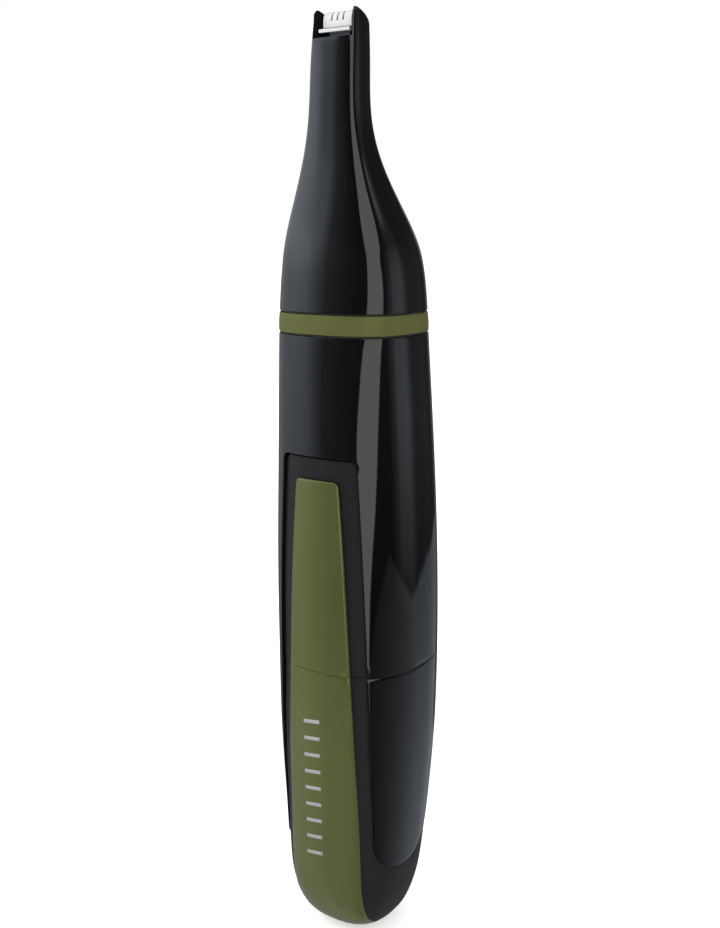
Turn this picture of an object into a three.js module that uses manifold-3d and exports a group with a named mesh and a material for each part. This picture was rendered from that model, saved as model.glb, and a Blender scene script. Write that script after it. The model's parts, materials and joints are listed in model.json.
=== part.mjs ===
// A cordless nose and detail hair trimmer: a slim battery handle with a thumb slider and a pull-off
// battery cover, and a pull-off head whose narrow neck carries a small reciprocating comb-and-blade cutter.
// Millimetres, +Z up the handle, front (switch side) towards -Y, origin under the middle of the handle.
import * as THREE from "three";
import { mergeVertices } from "three/addons/utils/BufferGeometryUtils.js";
import Module from "manifold-3d";

const wasm = await Module();
wasm.setup();

// ---------------------------------------------------------------- driving dimensions
// Outline of the handle and neck: height, half width, front face, back face, squareness of the section.
const STATIONS = [
  [0, 3.5, -3.4, 3.6, 2.4],
  [0.7, 5.5, -5.4, 5.5, 2.45],
  [2, 7.3, -7.3, 7.3, 2.5],
  [5, 9, -9.35, 8.7, 2.5],
  [9, 10.1, -10.5, 9.7, 2.5],
  [14, 10.6, -10.85, 10.45, 2.55],
  [22, 11.15, -11.1, 11.3, 2.55],
  [34, 11.8, -11.6, 12, 2.6],
  [48, 12, -11.9, 12.2, 2.6],
  [64, 11.85, -12.1, 11.6, 2.65],
  [80, 11.35, -12.15, 10.6, 2.65],
  [94, 10.75, -12.2, 9.3, 2.7],
  [100, 10.45, -12.05, 8.6, 2.8],
  [106, 10.1, -11.7, 7.9, 2.9],
  [112, 9.3, -11.2, 6.4, 3],
  [118, 7.35, -10.2, 2.7, 3.5],
  [124, 5.4, -9.35, -0.8, 4],
  [130, 4.25, -9, -2.45, 4.2],
  [138, 3.9, -8.65, -2.7, 4.4],
  [145, 3.55, -8, -2.7, 4.5],
];
const HALF_WIDTH = 1;
const FRONT = 2;
const BACK = 3;
const POWER = 4;

const TOP = 145;
const SEAM = 47.4; // between the battery cover and the handle
const RING_LOW = 99.4; // the coloured ring at the base of the head
const RING_HIGH = 102.6;
const LINE = 0.15; // half of a shut line between two outer pieces
const FACETS = 32; // round the handle

const HOUSING_WALL = 2.1;
const COVER_WALL = 1.7;
const INLAY_POCKET = 1.45; // depth of the pockets for the frame and the rear grip
const INLAY_BACK = 1.3;
const SLIDER_FACE = -0.05; // the green pieces stand this little out of the body line
const SLIDER_BACK = 0.45;
const PANEL_BACK = 0.9;
const PANEL_POCKET = 1.05;
const SIDE_BACK = 1;
const SIDE_POCKET = 1.15;
const FAR = 20; // past the outside of the body
const FILM = 0.02; // overlap of neighbouring pockets, so that no film is left between them

const FRAME_TOP = 81.3;
const GREEN_TOP = 77.9;
// Round lower end of the glossy side panels: fuller at the front than at the rear.
const SIDE_ARC = { y: -1, z: 20.4, reach: 7.7, drop: 7.2, frontPower: 2.8, rearPower: 1.8 };
// Half widths of the front frame, the green strip and the rear grip: height, half width.
const FRAME_EDGE = [[0, 8.45], [20.4, 8.45], [34, 8.35], [45, 8.05], [56, 7.75], [68, 7.25],
  [FRAME_TOP, 6.5]];
const GREEN_EDGE = [[0.3, 6.5], [8, 6.65], [20, 6.55], [35, 6.15], [50, 5.5], [64, 4.8],
  [GREEN_TOP, 3.8]];
const REAR_EDGE = [[0, 10], [20.4, 10], [26, 9.4], [34, 8.5], [45, 7.5], [56, 6.7], [FRAME_TOP, 5.6]];

const DRIVE_Y = -1.7; // axis of the motor, spigot and socket
const SWITCH_TRAVEL = 2.5;
const ECCENTRICITY = 0.8;
const DRIVE_PIN = 0.6; // radius
const PIVOT_Z = 120;
const NOTCH_FLOOR = 141;
const NOTCH_HALF = 2.7;
const BLADE_Y = -5.3; // middle of the comb and blade
const TOOTH_PITCH = 0.97;
const CARRIER_HALF = 1.75;

const BATTERY = { radius: 7.1, low: 9, shoulder: 58.5, nub: 2.7, top: 59.5 };
const SLEEVE = { inner: 7.4, outer: 8.4, low: 34, top: 61.5 };
const MOTOR = { radius: 6.5, flat: 5.2, wall: 0.5, low: 71, top: 88, boss: 2.9, bossTop: 89.5 };
const SPIGOT = { bore: 5.4, outer: 6.6, low: 97.2, plate: 98.9, top: 103.8 };
const SOCKET = { inner: 7, outer: 7.9, low: 99.75, top: 105 };
const SHAFT = 0.75; // radius

// ---------------------------------------------------------------- materials
const material = (color, roughness, metalness = 0) =>
  new THREE.MeshStandardMaterial({ color, roughness, metalness });
const GLOSS_BLACK = material(0x15171a, 0.12);
const SOFT_CHARCOAL = material(0x2a2c2e, 0.6);
const OLIVE = material(0x5d6237, 0.4);
const INNER_PLASTIC = material(0x2f3133, 0.55);
const WHITE_PLASTIC = material(0xd8d6cf, 0.5);
const STEEL = material(0xd2d4d6, 0.2, 1);
const SPRING_STEEL = material(0xb9bbbd, 0.3, 1);
const COPPER = material(0xb87345, 0.35, 1);
const RUBBER = material(0x151515, 0.8);
const MAGNET = material(0x3c3c40, 0.7, 0.3);
const BATTERY_WRAP = material(0x8c8f92, 0.35, 0.4);
const BOARD = material(0x5a4a2c, 0.6);
const RED_WIRE = material(0xa82020, 0.5);
const BLACK_WIRE = material(0x181818, 0.5);

// ---------------------------------------------------------------- geometry helpers
// A closed manifold-3d solid from a three.js geometry, turned to face out.
function solid(geometry) {
  const bare = new THREE.BufferGeometry();
  bare.setAttribute("position", geometry.getAttribute("position").clone());
  if (geometry.index) bare.setIndex(geometry.index);
  const merged = mergeVertices(bare, 1e-4);
  const p = merged.attributes.position.array;
  const corners = [...merged.index.array];
  const kept = [];
  let volume = 0;
  for (let i = 0; i < corners.length; i += 3) {
    const [a, b, c] = corners.slice(i, i + 3);
    if (a === b || b === c || c === a) continue;
    kept.push(a, b, c);
    const [u, v, w] = [a, b, c].map((k) => new THREE.Vector3().fromArray(p, 3 * k));
    volume += u.dot(v.cross(w));
  }
  if (volume < 0) kept.reverse();
  return new wasm.Manifold(
    new wasm.Mesh({ numProp: 3, vertProperties: p, triVerts: new Uint32Array(kept) }),
  );
}

const objects = new THREE.Group();
function piece(name, body, look) {
  const mesh = body.getMesh();
  const geometry = new THREE.BufferGeometry();
  geometry.setAttribute("position", new THREE.BufferAttribute(mesh.vertProperties, 3));
  geometry.setIndex(new THREE.BufferAttribute(mesh.triVerts, 1));
  const made = new THREE.Mesh(geometry, look);
  made.name = name;
  objects.add(made);
}

function box(x0, x1, y0, y1, z0, z1) {
  const made = new THREE.BoxGeometry(x1 - x0, y1 - y0, z1 - z0);
  return solid(made.translate((x0 + x1) / 2, (y0 + y1) / 2, (z0 + z1) / 2));
}

function cylinder(radius, z0, z1, x = 0, y = 0, sides = 20) {
  const made = new THREE.CylinderGeometry(radius, radius, z1 - z0, sides);
  return solid(made.rotateX(Math.PI / 2).translate(x, y, (z0 + z1) / 2));
}

// A cylinder along Y.
function crossPin(radius, y0, y1, z, sides = 16) {
  const made = new THREE.CylinderGeometry(radius, radius, y1 - y0, sides);
  return solid(made.translate(0, (y0 + y1) / 2, z));
}

// A round body turned about a vertical axis at y from a closed outline of [radius, z] points.
function turned(outline, y = 0, sides = 24) {
  const points = [...outline, outline[0]].map(([r, z]) => new THREE.Vector2(r, z));
  return solid(new THREE.LatheGeometry(points, sides).rotateX(Math.PI / 2).translate(0, y, 0));
}

const tube = (inner, outer, z0, z1, y = 0, sides = 24) =>
  turned([[inner, z0], [outer, z0], [outer, z1], [inner, z1]], y, sides);

function seal(radius, thickness, z, y) {
  const made = new THREE.TorusGeometry(radius, thickness, 8, 24);
  return solid(made.translate(0, y, z));
}

const shapeOf = (points) => new THREE.Shape(points.map(([a, b]) => new THREE.Vector2(a, b)));
const extrusion = (shape, depth) =>
  new THREE.ExtrudeGeometry(shape, { depth, bevelEnabled: false, curveSegments: 8 });

// An outline in X and Z, extruded from y0 to y1.
const frontPrism = (shape, y0, y1) =>
  solid(extrusion(shape, y1 - y0).rotateX(Math.PI / 2).translate(0, y1, 0));

// An outline in Y and Z, extruded from x0 to x1.
function sidePrism(shape, x0, x1) {
  const turn = new THREE.Matrix4().makeBasis(
    new THREE.Vector3(0, 1, 0),
    new THREE.Vector3(0, 0, 1),
    new THREE.Vector3(1, 0, 0),
  );
  return solid(extrusion(shape, x1 - x0).applyMatrix4(turn).translate(x0, 0, 0));
}

// An outline in X and Y, extruded from z0 to z1.
const plateOf = (shape, z0, z1) => solid(extrusion(shape, z1 - z0).translate(0, 0, z0));

// A round wire or strand along a smooth curve through points.
function strand(points, radius, steps, sides = 6) {
  const path = new THREE.CatmullRomCurve3(points.map((p) => new THREE.Vector3(...p)));
  const ring = new THREE.Shape().absarc(0, 0, radius, 0, 2 * Math.PI);
  const made = new THREE.ExtrudeGeometry(ring, {
    steps,
    extrudePath: path,
    curveSegments: sides / 2,
    bevelEnabled: false,
  });
  return solid(made);
}

// ---------------------------------------------------------------- the body's smooth skin
// Value of one STATIONS column at a height, on a smooth curve through the stations.
function along(column, z) {
  const last = STATIONS.length - 1;
  const rise = (k) => STATIONS[k + 1][column] - STATIONS[k][column];
  const step = (k) => rise(k) / (STATIONS[k + 1][0] - STATIONS[k][0]);
  const slope = (i) => {
    if (i === 0) return step(0);
    if (i === last) return step(last - 1);
    const below = STATIONS[i][0] - STATIONS[i - 1][0];
    const above = STATIONS[i + 1][0] - STATIONS[i][0];
    return (step(i - 1) * above + step(i) * below) / (above + below);
  };
  let i = 0;
  while (i < last - 1 && STATIONS[i + 1][0] < z) i += 1;
  const height = STATIONS[i + 1][0] - STATIONS[i][0];
  const t = (z - STATIONS[i][0]) / height;
  const [from, to] = [STATIONS[i][column], STATIONS[i + 1][column]];
  return (
    (2 * t ** 3 - 3 * t ** 2 + 1) * from +
    (t ** 3 - 2 * t ** 2 + t) * height * slope(i) +
    (3 * t ** 2 - 2 * t ** 3) * to +
    (t ** 3 - t ** 2) * height * slope(i + 1)
  );
}

// Point of the section at height z, drawn in by inset, in the direction of angle.
function rimPoint(z, inset, angle) {
  const power = 2 / along(POWER, z);
  const halfWidth = along(HALF_WIDTH, z) - inset;
  const halfDepth = (along(BACK, z) - along(FRONT, z)) / 2 - inset;
  const [c, s] = [Math.cos(angle), Math.sin(angle)];
  const centre = (along(BACK, z) + along(FRONT, z)) / 2;
  return [
    halfWidth * Math.sign(c) * Math.abs(c) ** power,
    centre + halfDepth * Math.sign(s) * Math.abs(s) ** power,
    z,
  ];
}

// Closes a stack of rings, given as [z, inset] rows, into a solid. The rows run round a closed loop
// for a tube, or are capped at both ends when ends is "capped".
function stack(rows, ends = "loop", facets = FACETS) {
  const position = [];
  const index = [];
  for (const [z, inset] of rows)
    for (let k = 0; k < facets; k += 1) position.push(...rimPoint(z, inset, (2 * Math.PI * k) / facets));
  const bands = ends === "loop" ? rows.length : rows.length - 1;
  for (let i = 0; i < bands; i += 1)
    for (let k = 0; k < facets; k += 1) {
      const [a, b] = [i * facets + k, i * facets + ((k + 1) % facets)];
      const next = ((i + 1) % rows.length) * facets;
      const [c, d] = [next + k, next + ((k + 1) % facets)];
      index.push(a, b, d, a, d, c);
    }
  if (ends === "capped")
    [0, rows.length - 1].forEach((row, side) => {
      const hub = position.length / 3;
      const [z] = rows[row];
      position.push(0, (along(BACK, z) + along(FRONT, z)) / 2, z);
      for (let k = 0; k < facets; k += 1) {
        const pair = [row * facets + k, row * facets + ((k + 1) % facets)];
        if (side === 0) pair.reverse();
        index.push(hub, ...pair);
      }
    });
  const made = new THREE.BufferGeometry();
  made.setAttribute("position", new THREE.Float32BufferAttribute(position, 3));
  made.setIndex(index);
  return solid(made);
}

// Heights from low to high that follow the stations, with none closer together than 1.5 mm.
function heights(low, high) {
  const inside = STATIONS.map((row) => row[0]).filter((z) => z > low + 1.5 && z < high - 1.5);
  return [low, ...inside, high];
}

const depthAt = (depth, z) => (typeof depth === "function" ? depth(z) : depth);

// A tube of the body's skin between two depths, which are numbers or functions of height.
function skin(low, high, outer, inner) {
  const levels = heights(low, high);
  const outside = levels.map((z) => [z, depthAt(outer, z)]);
  const inside = levels.map((z) => [z, depthAt(inner, z)]).reverse();
  return stack([...outside, ...inside]);
}

const plug = (low, high, inset) => stack(heights(low, high).map((z) => [z, inset]), "capped");

// Depth of the front frame under the body line: a clear step at the switch, almost flush at the base.
const FRAME_STEP = { low: 9, shallow: 0.1, deep: 0.6 };
function frameDepth(z) {
  const share = THREE.MathUtils.clamp((z - FRAME_STEP.low) / (SEAM - FRAME_STEP.low), 0, 1);
  return THREE.MathUtils.lerp(FRAME_STEP.shallow, FRAME_STEP.deep, share);
}

// Outline of a strip that follows an edge list from low to high, with rounded top corners.
function stripShape(edge, low, high, grow = 0, corner = 1.2) {
  const widthAt = (z) => {
    const i = Math.max(1, edge.findIndex((row) => row[0] >= z));
    const [[z0, w0], [z1, w1]] = [edge[i - 1], edge[i]];
    return w0 + ((z - z0) / (z1 - z0)) * (w1 - w0) + grow;
  };
  const inside = edge.map((row) => row[0]).filter((z) => z > low && z < high - corner);
  const levels = [low, ...inside, high - corner];
  const top = widthAt(Math.min(high, edge.at(-1)[0]));
  const shape = new THREE.Shape();
  shape.moveTo(widthAt(low), low);
  levels.slice(1).forEach((z) => shape.lineTo(widthAt(z), z));
  shape.quadraticCurveTo(top, high, top - corner, high);
  shape.lineTo(corner - top, high);
  shape.quadraticCurveTo(-top, high, -widthAt(high - corner), high - corner);
  levels.slice(0, -1).reverse().forEach((z) => shape.lineTo(-widthAt(z), z));
  return shape;
}

const zoneShape = (edge, grow) => stripShape(edge, -1, FRAME_TOP + grow, grow);
const frameZone = (grow) => frontPrism(zoneShape(FRAME_EDGE, grow), -FAR, SIDE_ARC.y);
const rearZone = (grow) => frontPrism(zoneShape(REAR_EDGE, grow), SIDE_ARC.y, FAR);

// The space above the round lower ends of the side panels, on both sides.
function sideZone(grow) {
  const { y, z, reach, drop, frontPower, rearPower } = SIDE_ARC;
  const steps = 20;
  const points = [[-FAR, SEAM + 5], [-FAR, z]];
  for (let k = 0; k <= steps; k += 1) {
    const angle = Math.PI * (1 + k / steps);
    const [c, s] = [Math.cos(angle), Math.abs(Math.sin(angle))];
    const power = 2 / (c < 0 ? frontPower : rearPower);
    const across = (reach + grow) * Math.sign(c) * Math.abs(c) ** power;
    points.push([y + across, z - (drop + grow) * s ** power]);
  }
  points.push([FAR, z], [FAR, SEAM + 5]);
  return sidePrism(shapeOf(points), -FAR, FAR);
}

// ---------------------------------------------------------------- handle shell and its inlays
const STEM = { halfWidth: 1.2, front: -11.4, low: 66, high: 69, clearance: 0.3 };

function stemSlot() {
  const { halfWidth, low, high, clearance } = STEM;
  const side = halfWidth + clearance;
  return box(-side, side, -FAR, -8, low - clearance, high + SWITCH_TRAVEL + clearance);
}

function handleShell() {
  const tubeWall = skin(SEAM + LINE, RING_LOW - LINE, 0, HOUSING_WALL);
  const pocket = skin(SEAM - 2, FRAME_TOP + 4, -2, INLAY_POCKET);
  const zones = frameZone(LINE).add(rearZone(LINE));
  piece("main_housing", tubeWall.subtract(pocket.intersect(zones)).subtract(stemSlot()), GLOSS_BLACK);
}

function handleInlays() {
  const layer = (depth) => skin(SEAM + LINE, FRAME_TOP + 2, depth, INLAY_BACK);
  piece("front_frame", layer(frameDepth).intersect(frameZone(-LINE)).subtract(stemSlot()), SOFT_CHARCOAL);
  piece("rear_grip", layer(0).intersect(rearZone(-LINE)), SOFT_CHARCOAL);
}

// ---------------------------------------------------------------- power slider and switch
const SWITCH = { board: -8, strip: -8.05, bridge: -8.35, carriage: -8.65 };

function powerSwitch() {
  const face = skin(SEAM, GREEN_TOP + 2, SLIDER_FACE, SLIDER_BACK);
  const outline = frontPrism(stripShape(GREEN_EDGE, SEAM + LINE + 0.1, GREEN_TOP, 0, 1), -FAR, 0);
  piece("power_slider", face.intersect(outline), OLIVE);
  const { halfWidth, front, low, high } = STEM;
  const carriage = box(-3.4, 3.4, -9.5, SWITCH.carriage, 63, 73);
  const stem = box(-halfWidth, halfWidth, front, -9, low, high);
  piece("slider_carriage", carriage.add(stem), INNER_PLASTIC);
  piece("bridge_contact", box(-3, 3, SWITCH.carriage + 0.05, SWITCH.bridge - 0.05, 64, 65.6), COPPER);
  piece("switch_board", box(-4.2, 4.2, SWITCH.board, -7.4, 62.2, 78), BOARD);
  const strip = (x, z0, z1) => box(x - 1, x + 1, SWITCH.bridge + 0.05, SWITCH.strip, z0, z1);
  piece("switch_strip_battery", strip(-2, 62.8, 77), COPPER);
  piece("switch_strip_motor", strip(2, 66.2, 77), COPPER);
}

// ---------------------------------------------------------------- battery bay
function batteryBay() {
  const { inner, outer, low, top } = SLEEVE;
  const bulkhead = top - 1.1;
  const outline = [[2, bulkhead], [inner, bulkhead], [inner, low], [outer, low], [outer, top], [2, top]];
  const stripGroove = box(-1.7, 1.7, 7.85, FAR, low - 1, top + 1);
  piece("battery_sleeve", turned(outline).subtract(stripGroove), INNER_PLASTIC);
  const { radius, nub } = BATTERY;
  const cell = [[0, BATTERY.low], [radius - 0.6, BATTERY.low], [radius, BATTERY.low + 0.6],
    [radius, BATTERY.shoulder - 0.6], [radius - 0.6, BATTERY.shoulder], [nub, BATTERY.shoulder],
    [nub, BATTERY.top], [0, BATTERY.top]];
  piece("aa_battery", turned(cell), BATTERY_WRAP);
  const disc = cylinder(3.4, BATTERY.top + 0.15, BATTERY.top + 0.45);
  piece("positive_contact", disc.add(cylinder(0.8, BATTERY.top + 0.3, top + 2)), SPRING_STEEL);
  piece("negative_strip", box(-1.4, 1.4, 7.95, 8.25, low + 2, top + 5), SPRING_STEEL);
  piece("cover_gasket", tube(outer + 0.1, outer + 1, SEAM + LINE, SEAM + 0.9), RUBBER);
}

// ---------------------------------------------------------------- motor
function flatted(radius, flat, z0, z1) {
  const round = cylinder(radius, z0, z1, 0, DRIVE_Y);
  return round.intersect(box(-FAR, FAR, DRIVE_Y - flat, DRIVE_Y + flat, z0 - 1, z1 + 1));
}

const SCREW = { x: 4.3, shank: 0.9, head: 1.6 };
const SIDES = [[-1, "left", "positive"], [1, "right", "negative"]];

// A round hole or post on the axis of the motor.
const onAxis = (radius, z0, z1, sides = 20) => cylinder(radius, z0, z1, 0, DRIVE_Y, sides);

// Clearance holes for both motor screws.
function screwHoles(z0, z1) {
  const hole = (side) => cylinder(SCREW.shank + 0.1, z0, z1, side * SCREW.x, DRIVE_Y, 12);
  return hole(-1).add(hole(1));
}

function motorScrew(side, top) {
  const x = side * SCREW.x;
  const shank = cylinder(SCREW.shank, top - 1.6, top + 1.9, x, DRIVE_Y, 10);
  const head = cylinder(SCREW.head, top + 1.7, top + 2.7, x, DRIVE_Y, 14);
  const slot = box(x - 2, x + 2, DRIVE_Y - 0.2, DRIVE_Y + 0.2, top + 2.3, top + 3);
  return shank.add(head).subtract(slot);
}

function motorMagnet(side, low, high) {
  const ring = tube(4.15, MOTOR.radius - MOTOR.wall - 0.15, low, high, DRIVE_Y);
  const [near, far] = side > 0 ? [2.4, FAR] : [-FAR, -2.4];
  return ring.intersect(box(near, far, DRIVE_Y - 3.4, DRIVE_Y + 3.4, low, high));
}

function motor() {
  const { radius, flat, wall, low, top, boss, bossTop } = MOTOR;
  const outside = flatted(radius, flat, low, top).add(onAxis(boss, top - 0.5, bossTop));
  const bore = flatted(radius - wall, flat - wall, low - 1, top - 0.8);
  const can = outside.subtract(bore).subtract(onAxis(SHAFT + 0.15, low, bossTop + 1));
  piece("motor_can", can.subtract(screwHoles(top - 2, top + 1)), STEEL);
  const endCap = flatted(radius - 0.1, flat - 0.1, low - 1.8, low - 0.1);
  piece("motor_end_cap", endCap.subtract(onAxis(SHAFT + 0.15, low - 3, low + 1)), WHITE_PLASTIC);
  for (const [side, name, pole] of SIDES) {
    const x = side * 3.6;
    const terminal = box(x - 0.9, x + 0.9, DRIVE_Y + 1, DRIVE_Y + 1.3, low - 5, low - 1.85);
    piece(`motor_terminal_${pole}`, terminal, COPPER);
    piece(`motor_magnet_${name}`, motorMagnet(side, low + 1.5, top - 3), MAGNET);
    piece(`motor_screw_${name}`, motorScrew(side, top), STEEL);
  }
  const mount = plug(top + 0.1, top + 1.6, HOUSING_WALL + 0.2);
  const pierced = mount.subtract(onAxis(boss + 0.2, top, top + 2)).subtract(screwHoles(top, top + 2));
  piece("motor_plate", pierced, INNER_PLASTIC);
}

const COIL = { inner: 1.5, neck: 0.7, outer: 3.9 };
const CAM = { radius: 2.6, low: 91.6, top: 95.6, pinTop: 102.4 };

// One of the three wound poles of the armature: its iron, and its bundle of wire.
function poleIron(low, high) {
  const ring = tube(3.1, COIL.outer, low, high);
  const shoe = ring.intersect(box(2, 5, -2.6, 2.6, low, high));
  return box(1, 3.5, -COIL.neck, COIL.neck, low, high).add(shoe);
}

function poleWinding(low, high) {
  const bundle = box(1.7, 2.5, -1.5, 1.5, low - 0.8, high + 0.8);
  const side = COIL.neck + 0.1;
  return bundle.subtract(box(1, 4, -side, side, low - 0.1, high + 0.1));
}

function rotor() {
  const { low, top } = MOTOR;
  const [coreLow, coreTop] = [low + 3.5, top - 3.6];
  piece("rotor_shaft", onAxis(SHAFT, low - 1.5, CAM.top - 1, 12), STEEL);
  let core = cylinder(COIL.inner, coreLow, coreTop, 0, 0, 12);
  const turnedTo = (made, k) => made.rotate([0, 0, 120 * k]);
  for (let k = 0; k < 3; k += 1) {
    core = core.add(turnedTo(poleIron(coreLow, coreTop), k));
    const winding = turnedTo(poleWinding(coreLow, coreTop), k).translate([0, DRIVE_Y, 0]);
    piece(`armature_winding_${k + 1}`, winding, COPPER);
  }
  const bore = onAxis(SHAFT + 0.05, coreLow - 1, coreTop + 1, 12);
  piece("armature_core", core.translate([0, DRIVE_Y, 0]).subtract(bore), MAGNET);
  piece("commutator", tube(SHAFT + 0.05, 1.5, low + 0.6, low + 2.4, DRIVE_Y, 12), COPPER);
  const shaftHole = onAxis(SHAFT + 0.05, CAM.low - 1, CAM.top - 0.9, 12);
  const hub = onAxis(CAM.radius, CAM.low, CAM.top).subtract(shaftHole);
  const pin = cylinder(DRIVE_PIN, CAM.top - 0.6, CAM.pinTop, 0, DRIVE_Y + ECCENTRICITY, 12);
  piece("eccentric_cam", hub.add(pin), WHITE_PLASTIC);
}

function wires() {
  const [positive, negative] = [-3.6, 3.6];
  const red = [[2, -6.8, 68.2], [-1, -6.2, 65], [positive, -4, 64], [positive, DRIVE_Y + 0.3, 67]];
  piece("motor_wire_red", strand(red, 0.45, 14), RED_WIRE);
  const black = [[0.4, 7.3, 65.8], [1.2, 4, 64.6], [negative, 1, 64.8], [negative, DRIVE_Y + 2, 67.2]];
  piece("motor_wire_black", strand(black, 0.45, 14), BLACK_WIRE);
}

// ---------------------------------------------------------------- spigot that carries the head
function spigot() {
  const { bore, outer, low, plate, top } = SPIGOT;
  const flange = plug(low, plate, HOUSING_WALL + 0.2);
  const groove = tube(6, FAR, 101.1, 102.1, DRIVE_Y);
  const made = flange.add(onAxis(outer, low, top, 32)).subtract(onAxis(bore, low - 1, top + 1, 28));
  piece("head_spigot", made.subtract(groove), INNER_PLASTIC);
  piece("spigot_seal", seal(6.4, 0.32, 101.6, DRIVE_Y), RUBBER);
}

// ---------------------------------------------------------------- battery cover
function batteryCover() {
  const outside = heights(0, SEAM - LINE).map((z) => [z, 0]);
  const inside = heights(2, SEAM - LINE).map((z) => [z, COVER_WALL]).reverse();
  const step = skin(FRAME_STEP.low, SEAM + 3, -2, frameDepth).intersect(frameZone(0));
  const sides = sideZone(0).subtract(frameZone(-FILM)).subtract(rearZone(0));
  const sidePocket = skin(8, SEAM + 3, -2, SIDE_POCKET).intersect(sides);
  const strip = (grow, low) => frontPrism(stripShape(GREEN_EDGE, low, SEAM + 6, grow), -FAR, -1.5 + grow);
  const panelPocket = skin(0.05, SEAM + 3, -2, PANEL_POCKET).intersect(strip(LINE, 0.2));
  const cup = stack([...outside, ...inside], "capped");
  piece("cover_boot", cup.subtract(step).subtract(sidePocket).subtract(panelPocket), SOFT_CHARCOAL);
  const panel = skin(0.35, SEAM - LINE - 0.1, SLIDER_FACE, PANEL_BACK).intersect(strip(0, 0.35));
  piece("cover_panel", panel, OLIVE);
  const shrunk = sideZone(-LINE).subtract(frameZone(LINE)).subtract(rearZone(LINE));
  const sideLayer = skin(10, SEAM - LINE, 0, SIDE_BACK).intersect(shrunk);
  piece("cover_side_left", sideLayer.intersect(box(-FAR, -1, -FAR, FAR, 0, TOP)), GLOSS_BLACK);
  piece("cover_side_right", sideLayer.intersect(box(1, FAR, -FAR, FAR, 0, TOP)), GLOSS_BLACK);
  piece("cover_collar", tube(8.7, 9.6, 36, SEAM - 0.4), INNER_PLASTIC);
}

// The contacts in the cover: a bent strip up the back and a conical spring under the battery.
function coverContacts() {
  const inner = [[1.5, 2.35], [4, 2.35], [6, 5.2], [7.35, 9.7], [7.4, 14],
    [8.1, 24], [8.1, 32], [8.31, 33], [8.31, 44]];
  const outer = [[8.5, 44], [8.5, 33], [8.3, 32], [8.3, 24],
    [7.6, 14], [7.55, 9.6], [6.2, 5.1], [4.1, 2.15], [1.5, 2.15]];
  piece("cover_strip", sidePrism(shapeOf([...inner, ...outer]), -1.2, 1.2), SPRING_STEEL);
  const turns = 3.5;
  const perTurn = 8;
  const coil = [];
  for (let i = 0; i <= turns * perTurn; i += 1) {
    const share = i / (turns * perTurn);
    const angle = (2 * Math.PI * i) / perTurn;
    const radius = THREE.MathUtils.lerp(3.9, 2.4, share);
    coil.push([radius * Math.cos(angle), radius * Math.sin(angle), THREE.MathUtils.lerp(2.8, 8.5, share)]);
  }
  piece("cover_spring", strand(coil, 0.3, turns * perTurn, 6), SPRING_STEEL);
}

// ---------------------------------------------------------------- head shell
const neckWall = (z) => THREE.MathUtils.mapLinear(z, RING_HIGH, TOP, 1.3, 0.95);

// Side view of the two prongs at the tip: a steep round front and a long round back.
function tipProfile() {
  const peak = { y: -6.7, z: 142 };
  const shape = new THREE.Shape();
  shape.moveTo(FAR, 90);
  shape.lineTo(FAR, peak.z - 3);
  shape.lineTo(peak.y + 4.2, peak.z - 1.2);
  shape.absellipse(peak.y, peak.z, 3.6, TOP - peak.z, 0, Math.PI / 2, false);
  shape.quadraticCurveTo(peak.y - 1.1, TOP, peak.y - 1.5, TOP - 1.6);
  shape.lineTo(-FAR, TOP - 8);
  shape.lineTo(-FAR, 90);
  return sidePrism(shape, -FAR, FAR);
}

function neckHousing() {
  const wall = skin(RING_HIGH + LINE, TOP, 0, neckWall).intersect(tipProfile());
  const notch = box(-NOTCH_HALF, NOTCH_HALF, -FAR, FAR, NOTCH_FLOOR, TOP + 5);
  const corner = [[2.2, -9.5], [3.9, -9.5], [3.7, -7.9], [2.6, -6.6], [2.2, -6.6]];
  const bevel = (side) => plateOf(shapeOf(corner.map(([x, y]) => [side * x, y])), NOTCH_FLOOR, TOP + 5);
  piece("neck_housing", wall.subtract(notch).subtract(bevel(1)).subtract(bevel(-1)), GLOSS_BLACK);
  piece("head_ring", skin(RING_LOW + LINE, RING_HIGH - LINE, 0, 1.5), OLIVE);
  const { inner, outer, low, top } = SOCKET;
  const collar = onAxis(outer, low, top, 28).add(plug(top - 1, top, 1.5));
  piece("head_socket", collar.subtract(onAxis(inner, low - 1, top + 1, 28)), INNER_PLASTIC);
}

// ---------------------------------------------------------------- cutter drive in the neck
const HUB = { radius: 1.9, bore: 1, front: -6.3, back: -2.8 };

function leverBridge() {
  const block = plug(PIVOT_Z - 2.4, PIVOT_Z + 2.4, 1.5);
  const opening = box(-2.9, 2.9, -6.8, -2.4, PIVOT_Z - 5, PIVOT_Z + 5);
  const pinHole = crossPin(0.95, -FAR, FAR, PIVOT_Z);
  piece("lever_bridge", block.subtract(opening).subtract(pinHole), INNER_PLASTIC);
  piece("pivot_pin", crossPin(0.8, -7.7, -1.8, PIVOT_Z), STEEL);
}

// The fork round the cam's pin: its slot leaves room for the pin in every place it can reach.
const FORK = { halfWidth: 3.4, half: 1.5, low: 98.6, root: 103.4, top: 106 };
const FORK_SLOT = DRIVE_PIN + 2 * ECCENTRICITY + 0.15;

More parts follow.
